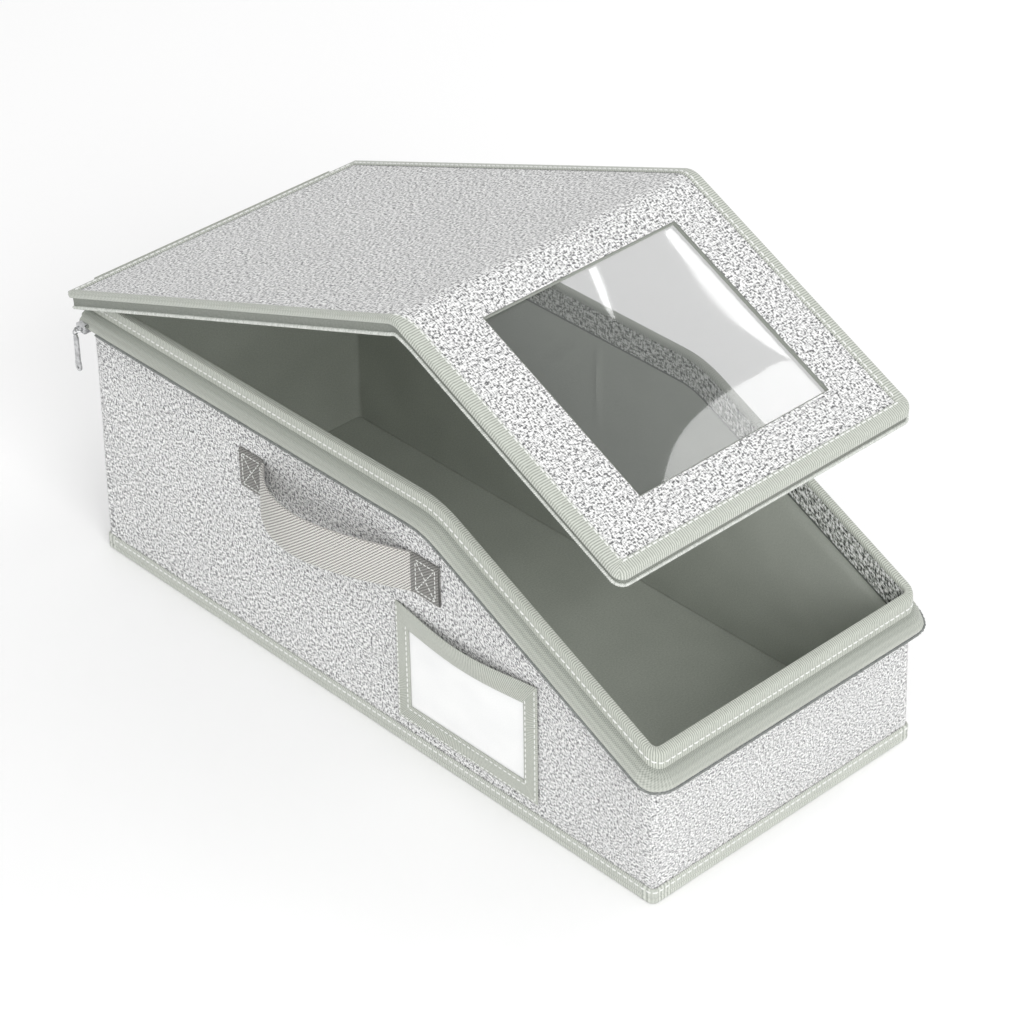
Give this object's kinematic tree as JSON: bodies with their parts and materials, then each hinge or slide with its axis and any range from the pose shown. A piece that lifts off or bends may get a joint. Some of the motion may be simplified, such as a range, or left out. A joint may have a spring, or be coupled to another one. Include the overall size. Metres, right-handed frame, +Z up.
{
  "type": "baseball cap carrier case",
  "caption": "Long linen-covered case for baseball caps, open on top, with a sloped front, a hinged two-board lid with a clear window, a zip, a webbing handle and a card pocket.",
  "frame": {"origin": "centre of the base panel's underside, on the floor", "axes": "+X to the right and -Y towards the sloped front, as seen from in front; +Z up"},
  "size_m": [0.2576, 0.5171, 0.3119],
  "materials": {
    "linen": "light grey linen-look weave with dark and white slubs",
    "binding": "grey-green ribbed grosgrain ribbon, stitched",
    "lining": "plain dark grey-green lining cloth",
    "tape": "smooth grey-green zip tape",
    "webbing": "grey-beige herringbone webbing",
    "coil": "moulded zip coil",
    "card": "bare white card",
    "film": "clear soft vinyl film",
    "chrome": "polished zinc"
  },
  "bodies": {
    "case": {"base_panel": "linen", "left_wall": "linen", "right_wall": "linen", "front_wall": "linen", "back_wall": "linen", "floor_lining": "lining", "left_lining": "lining", "right_lining": "lining", "front_lining": "lining", "back_lining": "lining", "rim_facing": "linen", "rim_binding": "binding", "base_binding": "binding", "body_zip_tape": "tape", "body_zip_coil": "coil", "zip_slider": "chrome", "hinge_strip": "binding", "handle_strap": "webbing", "label_frame": "binding", "label_card": "card"},
    "lid_rear": {"lid_rear_board": "linen", "lid_rear_binding": "binding", "lid_rear_tape_left": "tape", "lid_rear_tape_right": "tape", "lid_rear_coil_left": "coil", "lid_rear_coil_right": "coil"},
    "lid_front": {"lid_front_board": "linen", "lid_window_film": "film", "lid_front_binding": "binding", "lid_front_tape": "tape", "lid_front_coil": "coil"},
    "zip_pull": {"zip_pull": "chrome"}
  },
  "joints": [
    {"name": "lid_hinge", "type": "hinge", "parent": "case", "child": "lid_rear", "pos_m": [0, 0.2527, 0.1919], "axis": [-1, 0, 0], "range_deg": [-20.5, 69.5]},
    {"name": "lid_fold", "type": "hinge", "parent": "lid_rear", "child": "lid_front", "pos_m": [0, -0.05295, 0.31087], "axis": [1, 0, 0], "range_deg": [-20.5, 69.5]},
    {"name": "pull_swing", "type": "hinge", "parent": "case", "child": "zip_pull", "pos_m": [-0.12505, 0.2445, 0.17428], "axis": [0, 1, 0], "range_deg": [-15, 90]}
  ],
  "couplings": [
    {"joint": "lid_fold", "follows": "lid_hinge", "ratio": 1}
  ]
}
